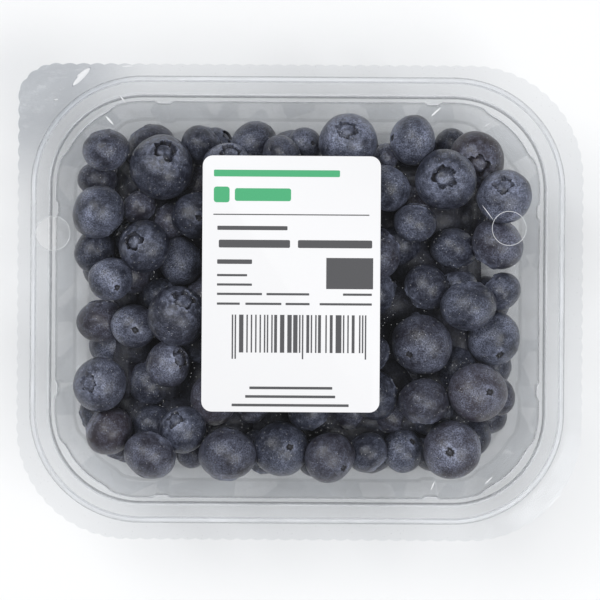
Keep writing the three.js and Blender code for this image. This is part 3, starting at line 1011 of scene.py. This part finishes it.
class PUNNET_OT_film(bpy.types.Operator):
    """Models the sealed film with its toothed edge, peel tab and punched holes"""

    bl_idname = "punnet.film"
    bl_label = "Film"

    def execute(self, context):
        sizes = context.scene.punnet_sizes
        level = FILM_LOW.z + (FILM_HIGH.z - FILM_LOW.z) / 2
        size = (sizes.film_length, sizes.film_width)
        film = grid_sheet("film_clear", size, FILM_CELL, FILM_CELL, (0, 0, level))
        apply_modifier(film, "SOLIDIFY", thickness=FILM_SHEET, offset=0)
        rings = [toothed(film_cut(sizes))]
        for middle in HOLES:
            outs = flat_ring(HOLE_STEPS, 1, 0)
            rings.append([Vector(middle) + HOLE_RADIUS * out.xy for out in outs])
        for ring in rings:
            cutter = prism("cutter", ring, level - CUTTER_REACH, level + CUTTER_REACH)
            cut_with(film, cutter, "INTERSECT" if ring is rings[0] else "DIFFERENCE")
        keep_upper_skin(film)
        rims = [hole_rim(middle, level) for middle in HOLES]
        folds = [crease(*row, level) for row in CREASES]
        film = joined([marked(film, edge=0), *rims, *folds], "film_clear")
        corner = Vector((-sizes.film_length / 2, sizes.film_width / 2))
        tabs = []
        for vertex in film.data.vertices:
            x, y, z = vertex.co
            vertex.co.z = z + film_rise(sizes, x, y)
            away = (Vector((x, y)) - corner).length
            inside = soft_step(depth_in_rim(sizes, x, y) / TAB_STEP)
            tabs.append(soft_step(TAB_START - away / TAB_REACH) * (1 - TAB_INSIDE * inside))
        smooth_by_angle(marked(film, tab=tabs), 50)
        finished(film, film_finish(), "lidding_film", "film")
        return {"FINISHED"}


# Label


def paper_finish(colour):
    """Smooth white paper with fine fibres."""
    finish = Finish("label_paper")
    fibres = finish.noise(0.5 * MM, 4, 0.7, (1, 3, 1))
    cloud = finish.noise(9 * MM)
    tone = finish.mix(0.5 * fibres + 0.3 * cloud, rgba(colour), rgba([part * 0.95 for part in colour]))
    bumped = finish.bump(fibres, 0.02 * MM)
    return finish.done(finish.principled(base_color=tone, roughness=0.5, normal=bumped))


def ink_finish(name, colour):
    """Print that lets a little of the paper's grain through."""
    finish = Finish(name)
    grain = finish.noise(0.35 * MM, 3, 0.7)
    tone = finish.mix(0.5 * grain, rgba(colour), rgba([part * 1.5 + 0.02 for part in colour]))
    return finish.done(finish.principled(base_color=tone, roughness=0.45))


def rounded_plate(name, middle, size, radius, low, high):
    """A flat plate with round corners."""
    deselect_all()
    bpy.ops.mesh.primitive_plane_add(size=1, location=(middle[0], middle[1], low))
    plate = named(name)
    plate.scale = (size[0], size[1], 1)
    fix_place()
    edit_all()
    if radius:
        bpy.ops.mesh.bevel(offset=radius, segments=6, affect="VERTICES")
        bpy.ops.mesh.select_all(action="SELECT")
    bpy.ops.mesh.extrude_region_move(TRANSFORM_OT_translate={"value": (0, 0, high - low)})
    close_edit()
    return plate


def printed(name, rows, finish):
    """Flat fields of print on the label, each with its left side, middle, width and height."""
    fields = []
    low, high = LABEL_HIGH.z - PRINT_RISE, LABEL_HIGH.z + PRINT_RISE
    for from_left, from_top, width, height in rows:
        middle = (LABEL_LOW.x + (from_left + width / 2) * MM, LABEL_HIGH.y - from_top * MM)
        size = (width * MM, height * MM)
        radius = min(size) * PRINT_CORNER if height < 5 else 0
        fields.append(rounded_plate(name, middle, size, radius, low, high))
    finished(joined(fields, name), finish, name)


def bars():
    """A row of bars of chance widths, with the long ones at both ends and in the middle."""
    draw = dice(BARS_SEED)
    rows = []
    along = 0
    while along < BARS_WIDTH - 1.2:
        width = BAR_STEP * (1 + int(3.4 * next(draw) ** 1.4))
        middle = abs(along - BARS_WIDTH / 2) < 0.7
        long = along < 1 or along > BARS_WIDTH - 2.2 or middle
        height = BARS_HEIGHT + (BARS_DROP if long else 0)
        width = BAR_STEP if long else width
        rows.append((BARS_LEFT + along, BARS_TOP + height / 2, width, height))
        along += width + BAR_STEP * (1 + int(2.2 * next(draw)))
    return rows


class PUNNET_OT_print(bpy.types.Operator):
    """Models the print on the label as plain fields of colour"""

    bl_idname = "punnet.print"
    bl_label = "Print on the label"

    def execute(self, context):
        colours = context.scene.punnet_colours
        green = ink_finish("print_green", colours.green_ink)
        dark = ink_finish("print_dark", colours.dark_ink)
        printed("print_green", GREEN_FIELDS, green)
        printed("print_dark", (*DARK_FIELDS, *bars()), dark)
        return {"FINISHED"}


class PUNNET_OT_label(bpy.types.Operator):
    """Models the paper label on the film"""

    bl_idname = "punnet.label"
    bl_label = "Label"

    def execute(self, context):
        sizes = context.scene.punnet_sizes
        colours = context.scene.punnet_colours
        size = (sizes.label_width, sizes.label_length)
        low, high = LABEL_LOW.z, LABEL_HIGH.z
        label = rounded_plate("label_paper", LABEL_MIDDLE[:2], size, LABEL_CORNER, low, high)
        apply_modifier(label, "BEVEL", width=LABEL_EDGE, segments=2, limit_method="ANGLE")
        smooth_by_angle(label, 35)
        finished(label, paper_finish(colours.paper), "label_paper", "label")
        return {"FINISHED"}


# Berries


def dice(seed):
    """A seeded row of numbers from 0 to 1."""
    state = seed
    while True:
        state = (state * 1664525 + 1013904223) % 4294967296
        yield state / 4294967296


class Berry:
    """The place, size and direction of one berry, in millimetres from the middle of the tray."""

    def __init__(self, x, y, z, r, axis, end=CROWN, level=None):
        self.x, self.y, self.z, self.r = x, y, z, r
        self.axis = axis
        self.end = end
        self.level = level
        self.seen_at = None

    def distance(self, other):
        """From middle to middle."""
        dx = self.x - other.x
        dy = self.y - other.y
        dz = self.z - other.z
        return math.sqrt(dx * dx + dy * dy + dz * dz)

    def clear_of(self, others, share):
        """Whether no other berry is closer than a share of the two radii."""
        return all(self.distance(other) > share * (self.r + other.r) for other in others)

    def push_from(self, other, other_is_loose):
        """Moves away from a berry, which takes half of the way if it is loose too."""
        away = self.distance(other)
        overlap = TOUCH * (self.r + other.r) - away
        if overlap <= 0:
            return
        share = (0.5 if other_is_loose else 1) * (overlap / away)
        for side in ("x", "y", "z"):
            step = (getattr(self, side) - getattr(other, side)) * share
            setattr(self, side, getattr(self, side) + step)
            if other_is_loose:
                setattr(other, side, getattr(other, side) - step)

    def keep_in_tray(self, sizes, ceiling, gap=WALL_GAP, tuck=CORNER_TUCK / MM):
        """Moves back between the walls, the floor and a ceiling."""
        lowest = FLOOR_SHEET + PANEL_RISE / MM + FLOOR_GAP + self.r
        self.z = max(min(self.z, ceiling - self.r), lowest)
        radius = RIM_RADIUS / MM - wall_inset(sizes, self.z)
        corner_x = sizes.rim_length / MM / 2 - RIM_RADIUS / MM
        corner_y = sizes.rim_width / MM / 2 - RIM_RADIUS / MM
        reach = radius - self.r - gap
        self.x = max(min(self.x, corner_x + reach), -corner_x - reach)
        self.y = max(min(self.y, corner_y + reach), -corner_y - reach)
        over_x = abs(self.x) - corner_x
        over_y = abs(self.y) - corner_y
        over = math.sqrt(over_x * over_x + over_y * over_y)
        limit = reach - tuck
        if over_x > 0 and over_y > 0 and over > limit:
            self.x = (corner_x + over_x * limit / over) * (1 if self.x > 0 else -1)
            self.y = (corner_y + over_y * limit / over) * (1 if self.y > 0 else -1)


def wall_inset(sizes, z):
    """How far inside the rim the wall's inner face is at a height, in millimetres."""
    ledge_z = (sizes.tray_height - LEDGE_DROP) / MM
    step_z = ledge_z - BAND_HEIGHT / MM
    wall_top = (FLANGE_WIDTH + LEDGE_WIDTH) / MM
    if z > step_z:
        return wall_top + BAND_DRAFT * (ledge_z - z) / BAND_HEIGHT
    return wall_top + (BAND_DRAFT + STEP_WIDTH) / MM + WALL_DRAFT / MM * (step_z - z) / step_z


def any_axis(draw):
    """A direction that the crown of a berry looks in."""
    axis = [next(draw) * 2 - 1, next(draw) * 2 - 1, next(draw) - 0.5]
    length = math.sqrt(sum(part * part for part in axis))
    return [part / length for part in axis]


def seen_berries(sizes, draw):
    """Each seen berry lies as high as its level and the berries over it allow."""
    berries = []
    for level, (drop, rows) in enumerate(SEEN_LEVELS):
        for x, y, diameter, *facing in rows:
            axis = any_axis(draw)
            axis[2] *= 0.2
            end = CROWN
            if facing:
                end, face_x, face_y = facing
                axis = [face_x, face_y, math.sqrt(1 - face_x * face_x - face_y * face_y)]
            berry = Berry(x, y, HEAP_TOP - drop - diameter / 2, diameter / 2, axis, end, level)
            for other in berries:
                reach = TOUCH * (berry.r + other.r)
                room = reach * reach - (x - other.x) ** 2 - (y - other.y) ** 2
                if room > 0:
                    berry.z = min(berry.z, other.z - math.sqrt(room))
            outwards = 1 + (sizes.tray_height / MM - berry.z) / (VIEW_HEIGHT / MM)
            berry.x *= outwards
            berry.y *= outwards
            berry.r *= outwards
            berry.seen_at = (berry.x, berry.y)
            berry.keep_in_tray(sizes, HEAP_TOP)
            berries.append(berry)
    return berries


def ceiling_over(sizes, berry):
    """Under the label an unseen berry may lie high, elsewhere only under those that show."""
    off_x = abs(berry.x + (TRAY_MIDDLE.x - LABEL_MIDDLE.x) / MM)
    off_y = abs(berry.y + (TRAY_MIDDLE.y - LABEL_MIDDLE.y) / MM)
    half_x = sizes.label_width / MM / 2 - berry.r
    half_y = sizes.label_length / MM / 2 - berry.r
    return HEAP_TOP if off_x < half_x and off_y < half_y else HEAP_TOP - FILL_DEPTH


def fill_berries(sizes, seen, draw):
    """The unseen berries start on a loose grid and are pushed apart; some are left out for room."""
    loose = []
    for z in FILL_LAYERS:
        for row in range(FILL_ROWS):
            for column in range(FILL_COLUMNS):
                jitter = [(next(draw) - 0.5) * FILL_JITTER for _ in range(3)]
                span = FILL_DIAMETER[1] - FILL_DIAMETER[0]
                diameter = FILL_DIAMETER[0] + span * next(draw)
                axis = any_axis(draw)
                x = (column - FILL_CENTRE[0] + (row % 2) * 0.5) * FILL_PITCH + jitter[0]
                y = (row - FILL_CENTRE[1]) * FILL_PITCH * FILL_ROW_PITCH + jitter[1]
                berry = Berry(x, y, z + jitter[2], diameter / 2, axis)
                berry.keep_in_tray(sizes, ceiling_over(sizes, berry))
                if berry.clear_of(seen, FILL_CLEAR) and berry.clear_of(loose, FILL_CLEAR):
                    loose.append(berry)
    for _ in range(FILL_ROUNDS):
        for index, berry in enumerate(loose):
            for other in seen:
                berry.push_from(other, False)
            for other in loose[:index]:
                berry.push_from(other, True)
            berry.keep_in_tray(sizes, ceiling_over(sizes, berry))
    kept = []
    for berry in loose:
        berry.keep_in_tray(sizes, ceiling_over(sizes, berry))
        if berry.clear_of(seen, FILL_SQUEEZE) and berry.clear_of(kept, FILL_SQUEEZE):
            kept.append(berry)
    return kept


def crown_ring(segments, crown, depth, row, seed):
    """One ring of a crown and how dark each of its points is, with a painted shadow on one side of the
    pit.
    """
    share, height, lobed, dark, _ = row
    lean = 0.3 * crown * max(0, 1 - share / 0.8)
    ring = []
    shades = []
    for step in range(segments):
        angle = TURN * step / segments
        out = Vector((math.cos(angle), math.sin(angle), 0))
        wobble = noise.noise(out * 1.3 + Vector((0, 0, seed)))
        ragged = noise.noise(out * 4.5 + Vector((0, 0, seed + 9)))
        lobes = math.cos(5 * angle + seed)
        reach = crown * share * (1 + lobed * (0.07 * lobes + 0.4 * wobble + 0.3 * ragged))
        lift = depth * height * (1 + lobed * (0.3 * lobes + 0.8 * ragged))
        point = out * reach + Vector((lean * math.cos(seed), lean * math.sin(seed), 0))
        point.z = skin_height(reach) + lift
        ring.append(point)
        # Painted shadow in the pit: ragged, and darker towards one side that the seed turns
        shade = 0.65 + wobble + ragged + 0.45 * math.cos(angle - seed)
        shades.append(depth * dark * min(1, max(0, shade)))
    return ring, shades


def berry_rings(segments, body_steps, crown, depth, scar, seed):
    """The rings of one berry of radius 1, from the middle of its crown to the scar of its stem.

    Each ring comes with the shades of its points and the paleness of its bloom.
    """
    rings = []
    for row in CROWN_RINGS:
        ring, shades = crown_ring(segments, crown, depth, row, seed)
        rings.append((ring, shades, row[4]))
    first = math.asin(crown * CROWN_RINGS[-1][0])
    last = math.pi - math.asin(scar * SCAR_RINGS[0][0])
    for step in range(1, body_steps):
        polar = first + (last - first) * step / body_steps
        halo = max(0, 0.6 - 0.25 * step)
        rings.append((flat_ring(segments, math.sin(polar), math.cos(polar)), [0] * segments, halo))
    for share, height, dark, halo in SCAR_RINGS:
        ring = []
        for place in flat_ring(segments, 1, 0):
            ragged = noise.noise(place * 2.2 + Vector((0, 0, seed + 20)))
            reach = scar * share * (1 + 0.5 * ragged)
            ring.append(Vector((place.x * reach, place.y * reach, -skin_height(reach) - height)))
        rings.append((ring, [dark] * segments, halo))
    return rings


def skin_height(reach):
    """The height of a ball of radius 1 at a distance from its axis."""
    return math.sqrt(max(0, 1 - reach * reach))


def flat_ring(segments, reach, z):
    """A level ring of points."""
    angles = [TURN * step / segments for step in range(segments)]
    return [Vector((reach * math.cos(angle), reach * math.sin(angle), z)) for angle in angles]


def berry_model(name, segments, body_steps, crown, depth, scar, seed):
    """One berry of radius 1 with its crown up, and the marks of its crown and scar."""
    rings = berry_rings(segments, body_steps, crown, depth, scar, seed)
    model = extruded_rings(name, [ring for ring, _, _ in rings], True, True)
    shades = [shade for _, marks, _ in rings for shade in marks]
    halos = [halo for ring, _, halo in rings for _ in ring]
    return marked(model, dark=shades, halo=halos)


def spread(draw, share):
    """A factor that is drawn within a share of 1."""
    return 1 - share + 2 * share * next(draw)


def placed_berry(model, berry, name, draw):
    """A copy of a berry with its own size, place, lumps and tone, which painted shade lowers the
    deeper it lies.
    """
    mesh = model.data.copy()
    mesh.name = name
    copy = bpy.data.objects.new(name, mesh)
    bpy.context.collection.objects.link(copy)
    spin = Matrix.Rotation(TURN * next(draw), 3, "Z")
    over = Matrix.Rotation(math.pi, 3, "X") if berry.end == STEM else Matrix.Identity(3)
    aim = Vector((0, 0, 1)).rotation_difference(Vector(berry.axis)).to_matrix()
    height = BERRY_FLATNESS * spread(draw, HEIGHT_SPREAD)
    narrow = spread(draw, WIDTH_SPREAD)
    shape = Matrix.Diagonal((narrow, 1 / narrow, height))
    turn = aim @ over @ spin
    middle = Vector((berry.x, berry.y, berry.z)) * MM + Vector((TRAY_MIDDLE.x, TRAY_MIDDLE.y, 0))
    away = Vector((next(draw), next(draw), next(draw))) * 40
    # A tone at random, lowered by painted shade for each level down and for the unseen berries
    tone = next(draw) * (DEEP_SHADE_FACTOR if berry.level is None else LEVEL_SHADE_FACTORS[berry.level])
    warm = next(draw) ** 5
    for vertex in mesh.vertices:
        unit = vertex.co.copy()
        lumps = sum(high * noise.noise(unit * fine + away) for high, fine in LUMPS)
        vertex.co = middle + turn @ (shape @ unit) * (berry.r * MM * (1 + lumps))
    return marked(copy, tone=tone, warm=warm)


def dome_height(x, y):
    """How high the core stands at a place: its top has a dome for every berry that it stands for."""
    x += DOME_STRAY * noise.noise(Vector((x / STRAY_LENGTH, y / STRAY_LENGTH, 3.3)))
    y += DOME_STRAY * noise.noise(Vector((x / STRAY_LENGTH, y / STRAY_LENGTH, 8.8)))
    row_height = DOME_PITCH * math.sqrt(0.75)
    nearest = DOME_RADIUS
    for row in (math.floor(y / row_height), math.ceil(y / row_height)):
        shift = DOME_PITCH / 2 * (row % 2)
        off_x = (x - shift + DOME_PITCH / 2) % DOME_PITCH - DOME_PITCH / 2
        nearest = min(nearest, math.hypot(off_x, y - row * row_height))
    return math.sqrt(DOME_RADIUS**2 - nearest**2)


def berry_core(sizes):
    """A dark domed body between the berries that closes the heap to light in its middle; its darkness
    is painted shade.
    """
    size = (sizes.rim_length - 2 * CORE_INSET, sizes.rim_width - 2 * CORE_INSET)
    middle = (TRAY_MIDDLE.x, TRAY_MIDDLE.y, CORE_LOW)
    core = grid_sheet("berries_core", size, CORE_CELL, 0, middle)
    for vertex in core.data.vertices:
        off = vertex.co - TRAY_MIDDLE
        inside = min(size[0] / 2 - abs(off.x), size[1] / 2 - abs(off.y))
        vertex.co.z += dome_height(off.x, off.y) * soft_step(inside / CORE_FADE)
    apply_modifier(core, "SOLIDIFY", thickness=CORE_SHEET, offset=-1)
    smooth_by_angle(core, 60)
    # Painted shade: the core is darkened and its bloom kept low, for the deep gaps in the heap
    return marked(core, dark=0.5, halo=0, tone=0.05, warm=0)


def skin_finish(colours):
    """Berry skin: nearly black where bare, pale and blue-grey under its bloom of wax; the dark mark is
    the scar's own colour and painted shade in the crown's pit and on the core.
    """
    finish = Finish("berry_skin")
    tone = finish.attribute("tone")
    halo = finish.attribute("halo")
    patches = finish.ramp(finish.noise(7 * MM, 3, 0.5), (0.38, 0), (0.64, 1))
    rubs = finish.ramp(finish.noise(1.8 * MM, 5, 0.68), (0.42, 0), (0.64, 1))
    grain = finish.ramp(finish.noise(0.4 * MM, 2, 0.7), (0.38, 0), (0.64, 1))
    # Painted shade: a lower tone thins the bloom of the deeper berries
    coat = 0.03 * tone + patches * (0.06 + 0.42 * tone) + 0.17 * rubs
    bloom = (coat * (0.17 + 1.03 * grain) + halo * (0.06 + 0.32 * rubs)).held()
    bare = finish.mix(finish.attribute("warm"), rgba(colours.bare_skin), WARM_SKIN)
    skin = finish.mix(bloom, bare, rgba(colours.bloom))
    # The dark mark: the scar's own colour, and painted shade in the crown's pit and on the core
    dark = finish.attribute("dark")
    skin = finish.mix(dark.held(), skin, DARK_SKIN_AND_SHADE)
    bumped = finish.bump(0.6 * rubs + 0.4 * grain, 0.06 * MM)
    rough = 0.28 + 0.25 * bloom + 0.4 * dark
    return finish.done(finish.principled(base_color=skin, roughness=rough, normal=bumped))


class PUNNET_OT_berries(bpy.types.Operator):
    """Models the heap of berries, each with its crown and the scar of its stem"""

    bl_idname = "punnet.berries"
    bl_label = "Berries"

    def execute(self, context):
        sizes = context.scene.punnet_sizes
        draw = dice(FILL_SEED)
        seen = seen_berries(sizes, draw)
        fill = fill_berries(sizes, seen, draw)
        for berry in seen:
            berry.x, berry.y = berry.seen_at
            berry.keep_in_tray(sizes, HEAP_TOP, SEEN_GAP, SEEN_GAP)
        looks = dice(LOOKS_SEED)
        finish = skin_finish(context.scene.punnet_colours)
        fine = [
            berry_model(f"berry_{index}", ROUND_STEPS[0], BODY_STEPS[0], *kind, 3.1 * index + 1)
            for index, kind in enumerate(BERRY_KINDS)
        ]
        plain = [berry_model("berry_plain", ROUND_STEPS[1], BODY_STEPS[1], *BERRY_KINDS[0], 1.3)]
        groups = (
            ("berries_high", [berry for berry in seen if berry.level == 0], fine),
            ("berries_middle", [berry for berry in seen if berry.level == 1], fine),
            ("berries_low", [berry for berry in seen if berry.level > 1], fine),
            ("berries_deep", fill, plain),
        )
        for name, berries, models in groups:
            copies = []
            for index, berry in enumerate(berries):
                model = models[index % len(models)]
                copies.append(placed_berry(model, berry, f"{name}_{index}", looks))
            heap = joined(copies, name)
            smooth_by_angle(heap, 60)
            finished(heap, finish, "berry_skin", "berries")
        for model in fine + plain:
            bpy.data.objects.remove(model)
        finished(berry_core(sizes), finish, "berry_skin", "berries")
        return {"FINISHED"}


# Stage


def softbox(name, place, power):
    """A square soft light that looks at the punnet."""
    light = bpy.data.lights.new(name, "AREA")
    light.shape = "SQUARE"
    light.size = LIGHT_SIZE
    light.energy = power
    lamp = bpy.data.objects.new(name, light)
    lamp.location = place
    lamp.rotation_euler = (-Vector(place)).to_track_quat("-Z", "Y").to_euler()
    bpy.context.collection.objects.link(lamp)


class PUNNET_OT_stage(bpy.types.Operator):
    """Sets up the pale floor, the soft lights and the camera over the punnet"""

    bl_idname = "punnet.stage"
    bl_label = "Floor, lights and camera"

    def execute(self, context):
        deselect_all()
        bpy.ops.mesh.primitive_plane_add(size=FLOOR_SIZE, location=(0, 0, -FLOOR_DROP))
        floor = context.object
        floor.name = "floor"
        fix_place()
        finish = Finish("floor_pale")
        tone = finish.mix(finish.noise(0.4), *FLOOR_TINTS)
        floor.data.materials.append(finish.done(finish.principled(base_color=tone, roughness=0.7)))
        for light in LIGHTS:
            softbox(*light)
        world = bpy.data.worlds.new("soft_room")
        world.use_nodes = True
        room = world.node_tree.nodes["Background"]
        room.inputs["Color"].default_value = ROOM_TINT
        room.inputs["Strength"].default_value = ROOM_LIGHT
        context.scene.world = world
        eye = bpy.data.cameras.new("camera")
        eye.sensor_width = SENSOR
        eye.lens = SENSOR * VIEW_HEIGHT / VIEW_WIDTH
        eye.dof.use_dof = False
        camera = bpy.data.objects.new("camera", eye)
        camera.location = (0, VIEW_LIFT, FILM_HIGH.z + VIEW_HEIGHT)
        camera.rotation_euler = (0, 0, VIEW_ROLL)
        context.collection.objects.link(camera)
        context.scene.camera = camera
        context.scene.view_settings.view_transform = "Standard"
        context.scene.cycles.transparent_max_bounces = 24
        return {"FINISHED"}


class PUNNET_PT_sidebar(bpy.types.Panel):
    """Lists the pieces of the punnet in the sidebar"""

    bl_idname = "PUNNET_PT_sidebar"
    bl_label = "Blueberry punnet"
    bl_space_type = "VIEW_3D"
    bl_region_type = "UI"
    bl_category = "Punnet"

    def draw(self, context):
        for step in STEPS:
            self.layout.operator(step.bl_idname)


STEPS = (
    PUNNET_OT_stage,
    PUNNET_OT_tray,
    PUNNET_OT_berries,
    PUNNET_OT_film,
    PUNNET_OT_label,
    PUNNET_OT_print,
)
CLASSES = (PunnetSizes, PunnetColours, *STEPS, PUNNET_PT_sidebar)


def register():
    for kind in CLASSES:
        bpy.utils.register_class(kind)
    bpy.types.Scene.punnet_sizes = PointerProperty(type=PunnetSizes)
    bpy.types.Scene.punnet_colours = PointerProperty(type=PunnetColours)


def unregister():
    del bpy.types.Scene.punnet_colours
    del bpy.types.Scene.punnet_sizes
    for kind in reversed(CLASSES):
        bpy.utils.unregister_class(kind)


def main():
    register()
    bpy.ops.punnet.stage()
    bpy.ops.punnet.tray()
    bpy.ops.punnet.berries()
    bpy.ops.punnet.film()
    bpy.ops.punnet.label()
    bpy.ops.punnet.print()


if __name__ == "__main__":
    main()
